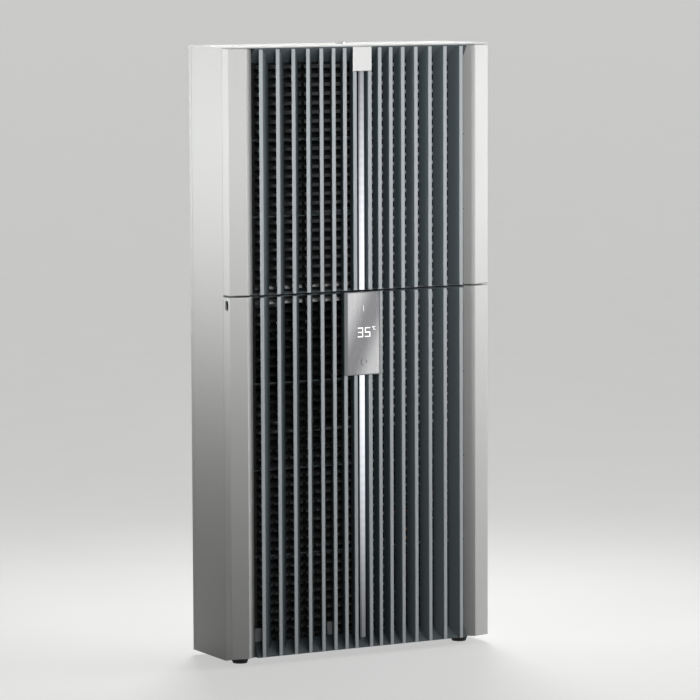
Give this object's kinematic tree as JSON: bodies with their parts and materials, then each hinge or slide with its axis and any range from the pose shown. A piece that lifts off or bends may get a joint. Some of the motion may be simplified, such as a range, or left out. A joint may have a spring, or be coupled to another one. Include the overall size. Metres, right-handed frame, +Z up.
{
  "type": "enclosure cooling unit",
  "caption": "Slim upright cooling unit for an electrical enclosure, with light housing, fanned dark front lamellae, a lit centre strip and a display, and air openings in the rear.",
  "frame": {"origin": "on the floor, under the middle of the unit's box", "axes": "+Z up, +Y towards the rear mounting face, the display faces -Y"},
  "size_m": [0.45, 0.1422, 0.942],
  "materials": {
    "housing_paint": "fine textured powder coat",
    "cover_paint": "satin painted moulding",
    "lamella_slate": "fine eroded moulding",
    "trim_silver": "satin lacquered strip",
    "louvre_black": "matt moulding",
    "light_white": "opal light guide",
    "plate_white": "gloss lacquer",
    "display_metal": "satin anodised",
    "display_face": "half-mirrored window",
    "clip_grey": "plain moulding",
    "black_rubber": "matt",
    "black_plastic": "fine eroded moulding",
    "zinc_steel": "zinc plated",
    "coil_fins": "bare fin stock",
    "copper_tube": "drawn copper",
    "compressor_black": "gloss enamel",
    "cast_aluminium": "die cast"
  },
  "bodies": {
    "housing": {"accumulator_elbow": "copper_tube", "base_tray": "zinc_steel", "compressor": "compressor_black", "compressor_grommets": "black_rubber", "condensate_pan": "black_plastic", "condenser_bends": "copper_tube", "condenser_fan_frame": "black_plastic", "condenser_fan_motor": "cast_aluminium", "condenser_fin_block": "coil_fins", "discharge_pipe": "copper_tube", "drain_tube": "black_plastic", "drier_pipe": "copper_tube", "evaporator_baffle": "zinc_steel", "evaporator_bends": "copper_tube", "evaporator_fan_motor": "cast_aluminium", "evaporator_fin_block": "coil_fins", "evaporator_inlet_ring": "zinc_steel", "expansion_valve": "copper_tube", "fan_bulkhead": "zinc_steel", "feet": "black_rubber", "filter_drier": "copper_tube", "inverter_box": "cast_aluminium", "left_side_panel": "housing_paint", "lifting_bush": "zinc_steel", "liquid_pipe": "copper_tube", "mount_inserts": "zinc_steel", "partition": "zinc_steel", "power_inlet": "black_plastic", "rear_panel": "housing_paint", "rear_seal": "black_rubber", "right_side_panel": "housing_paint", "suction_accumulator": "compressor_black", "suction_pipe": "copper_tube", "top_panel": "housing_paint"},
    "upper_front": {"upper_cover_frame": "cover_paint", "upper_lamella_insert": "lamella_slate", "upper_lamella_trims": "trim_silver", "upper_louvre": "louvre_black", "upper_light_strip": "light_white", "top_plate": "plate_white"},
    "lower_front": {"lower_cover_frame": "cover_paint", "lower_lamella_insert": "lamella_slate", "lower_lamella_trims": "trim_silver", "lower_louvre": "louvre_black", "lower_light_strip": "light_white", "display_bezel": "display_metal", "display_window": "display_face", "service_port": "black_plastic", "louvre_clips": "clip_grey"},
    "condenser_rotor": {"condenser_fan_rotor": "black_plastic"},
    "evaporator_rotor": {"evaporator_fan_rotor": "black_plastic"}
  },
  "joints": [
    {"name": "condenser_fan_spin", "type": "hinge", "parent": "housing", "child": "condenser_rotor", "pos_m": [-0.075, -0.01, 0.45494], "axis": [0, 1, 0], "continuous": true},
    {"name": "evaporator_fan_spin", "type": "hinge", "parent": "housing", "child": "evaporator_rotor", "pos_m": [0, 0, 0.8099], "axis": [0, 1, 0], "continuous": true},
    {"name": "upper_cover_pull", "type": "slide", "parent": "housing", "child": "upper_front", "axis": [0, -1, 0], "range_m": [0, 0.06]},
    {"name": "lower_cover_pull", "type": "slide", "parent": "housing", "child": "lower_front", "axis": [0, -1, 0], "range_m": [0, 0.06]}
  ]
}
